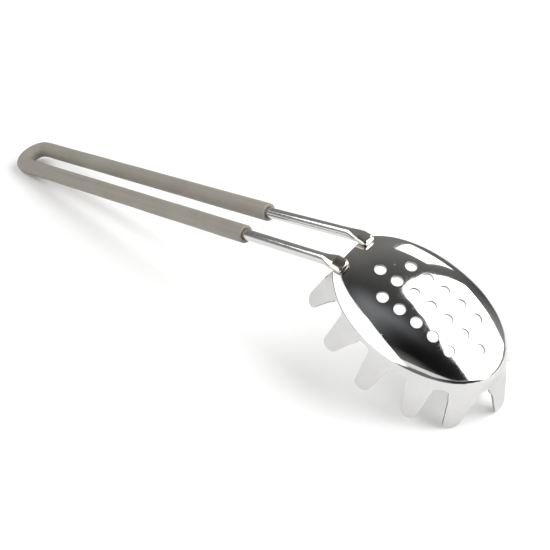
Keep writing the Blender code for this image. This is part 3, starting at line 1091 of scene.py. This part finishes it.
# %% Finish of the grip
def build_silicone():
    finish, tree, shader, position = new_finish("warm grey silicone", Metallic=0.0,
                                                Sheen_Weight=0.03, Sheen_Roughness=0.5)
    shader.inputs["Specular IOR Level"].default_value = 0.32
    shader.inputs["Sheen Tint"].default_value = (0.9, 0.87, 0.82, 1.0)
    streak = noise(tree, scaled(tree, position, (18.0, 700.0, 700.0), ARM_TURN), 1.0, 2.0)
    cloud = noise(tree, position, 55.0, 4.0, 0.6)
    pores = noise(tree, position, 5200.0, 2.0, 0.6)
    specks = effect(tree, DUST, position, Amount=0.35)
    edge = effect(tree, EDGE_HIGHLIGHT, position, Reach=0.35)
    colour = mix_colours(tree, remap(tree, cloud, 0.3, 0.7), (0.212, 0.193, 0.164),
                         (0.254, 0.233, 0.200))
    colour = mix_colours(tree, remap(tree, streak, 0.45, 0.8, 0.0, 0.35), colour,
                         (0.30, 0.28, 0.245))
    colour = mix_colours(tree, remap(tree, pores, 0.35, 0.6, 0.25, 0.0), colour,
                         (0.17, 0.155, 0.13))
    # painted highlight: convex edges of the tube get a lighter colour
    colour = mix_colours(tree, edge, colour, (0.33, 0.31, 0.27))
    colour = mix_colours(tree, maths(tree, "MULTIPLY", specks, 0.6), colour, (0.50, 0.48, 0.45))
    soft = bump(tree, effect(tree, WAVINESS, position, Size=0.004), 0.00006)
    connect(tree, shader, colour, remap(tree, cloud, 0.3, 0.7, 0.54, 0.66),
            bump(tree, pores, 0.00003, soft))
    return finish


# %% Put the finishes on
def dress(piece, finish):
    piece.data.materials.clear()
    piece.data.materials.append(finish)
    print(piece.name, "is finished in", finish.name)


for build in (build_polished_steel, build_sheared_edge):
    print(bowl.name, "is finished in", build().name)
dress(wire, build_drawn_wire())
dress(grip, build_silicone())

# %% [markdown]
# ## Table, light and camera
# The tool lies on a plain pale board. A mirror shows its surroundings, so the studio matters
# as much as the steel. A large softbox stands overhead to the right, with a tall strip beside
# it and a fill panel on the left. The wire strip draws the bright band along the handle, and
# the low front strip draws a light line in the rounded rim. The room is dim, and darkest on the
# side where the camera stands.

# %% The table
TABLE_TONE = (0.84, 0.84, 0.838)
TABLE_SIZE = 3.2
TABLE_MIDDLE = (0.0, 0.5, 0.0)


def build_table():
    deselect_all()
    bpy.ops.mesh.primitive_plane_add(size=TABLE_SIZE, location=TABLE_MIDDLE)
    table = bpy.context.object
    table.name = table.data.name = "pale_table"
    bpy.ops.object.transform_apply(location=True, rotation=True, scale=True)
    finish, tree, shader, position = new_finish("pale matt board", Roughness=0.75)
    shader.inputs["Specular IOR Level"].default_value = 0.25
    tone = noise(tree, position, 9.0, 3.0)
    colour = mix_colours(tree, tone, TABLE_TONE, tuple(value * 1.03 for value in TABLE_TONE))
    tree.links.new(colour, shader.inputs["Base Color"])
    grain = noise(tree, position, 2500.0, 2.0)
    tree.links.new(bump(tree, grain, 0.00002), shader.inputs["Normal"])
    dress(table, finish)


build_table()


# %% Softboxes
BOWL_PLACE = Vector((0.1255, -0.008, 0.045))


def towards(azimuth, elevation):
    """Unit direction from the bowl at these angles in degrees."""
    turn, rise = math.radians(azimuth), math.radians(elevation)
    return Vector((math.cos(rise) * math.cos(turn), math.cos(rise) * math.sin(turn),
                   math.sin(rise)))


def softbox(name, centre, width_way, height_way, width, height, radiance):
    """A rectangular area light that spans two directions and faces the bowl."""
    light = bpy.data.lights.new(name, "AREA")
    light.shape = "RECTANGLE"
    light.size, light.size_y = width, height
    light.energy = radiance * math.pi * width * height
    across = Vector(width_way).normalized()
    upward = Vector(height_way)
    upward = (upward - across * upward.dot(across)).normalized()
    back = across.cross(upward)
    if back.dot(BOWL_PLACE - centre) > 0.0:
        across, back = -across, -back
    turn = Matrix((across, upward, back)).transposed().to_4x4()
    lamp = bpy.data.objects.new(name, light)
    bpy.context.scene.collection.objects.link(lamp)
    lamp.matrix_world = Matrix.Translation(centre) @ turn
    print(name, "is", width, "by", height, "m")


# name, centre, width direction, height direction, width, height, radiance
softbox("overhead softbox", Vector((1.2494, 0.3276, 0.7227)),
        (0.9329, -0.3031, -0.1946), (-0.0482, -0.6405, 0.7664), 2.3, 1.04, 4.8)
softbox("tall strip", Vector((-0.1933, 1.0346, 0.7530)),
        (-0.9563, -0.2924, 0.0), (0.0, 0.0, 1.0), 0.28, 0.84, 3.0)
softbox("fill panel", Vector((-0.2364, -0.9037, 0.6956)),
        (0.6980, -0.5057, -0.5070), (0.6455, 0.1378, 0.7512), 2.3, 1.0, 2.0)
softbox("wire strip", Vector((-0.7100, -0.3600, 0.9300)),
        (0.8110, -0.2270, 0.5370), (0.0, 0.9200, 0.3900), 0.66, 0.50, 2.8)
softbox("front strip", BOWL_PLACE + 1.6 * towards(322.0, 22.0),
        (0.6157, 0.7880, 0.0), (-0.2952, 0.2306, 0.9272), 1.6, 0.15, 1.0)


# %% The dim room
ROOM_TONE = (0.08, 0.08, 0.08)
# azimuth, elevation and spread in degrees, and the colour there
ROOM_SPOTS = ((140.0, 30.0, 58.0, (0.30, 0.30, 0.29)), (300.0, 62.0, 30.0, (0.35, 0.36, 0.38)),
              (322.0, 38.0, 48.0, (0.012, 0.012, 0.012)), (300.0, 5.0, 36.0, (0.26, 0.26, 0.26)),
              (232.0, 8.0, 34.0, (0.40, 0.40, 0.40)), (40.0, 0.0, 55.0, (0.50, 0.50, 0.49)))


def room_spot(tree, way, azimuth, elevation, spread_angle):
    """The mask of a soft spot of the room in one direction."""
    facing = put(tree, "VectorMath", {0: way, 1: towards(azimuth, elevation)},
                 operation="DOT_PRODUCT").outputs["Value"]
    return put(tree, "MapRange",
               {"Value": facing, "From Min": math.cos(math.radians(spread_angle)),
                "From Max": 1.0}, interpolation_type="SMOOTHSTEP").outputs[0]


def build_room():
    world = bpy.data.worlds.new("dim studio")
    bpy.context.scene.world = world
    world.use_nodes = True
    tree = world.node_tree
    way = put(tree, "TexCoord").outputs["Generated"]
    colour = ROOM_TONE
    for azimuth, elevation, spread_angle, spot_colour in ROOM_SPOTS:
        mask = room_spot(tree, way, azimuth, elevation, spread_angle)
        colour = mix_colours(tree, mask, colour, spot_colour)
    tree.links.new(colour, tree.nodes["Background"].inputs["Color"])
    print(world.name, "has", len(ROOM_SPOTS), "soft spots")


build_room()

# %% The camera
CAMERA_PLACE = Vector((0.31571, -0.26793, 0.29168))
CAMERA_WAY = Vector((-0.58398, 0.56007, -0.58761))
CAMERA_ROLL = math.radians(-1.41)
CAMERA_LENS = 65.93


def build_camera():
    lens = bpy.data.cameras.new("view camera")
    lens.lens, lens.sensor_width = CAMERA_LENS, 36.0
    lens.clip_start, lens.clip_end = 0.01, 20.0
    camera = bpy.data.objects.new("view camera", lens)
    bpy.context.scene.collection.objects.link(camera)
    level = CAMERA_WAY.to_track_quat("-Z", "Y").to_matrix().to_4x4()
    camera.matrix_world = (Matrix.Translation(CAMERA_PLACE) @ level
                           @ Matrix.Rotation(CAMERA_ROLL, 4, "Z"))
    bpy.context.scene.camera = camera
    print(camera.name, "has a lens of", lens.lens, "mm")


build_camera()
bpy.context.scene.view_settings.view_transform = "Standard"
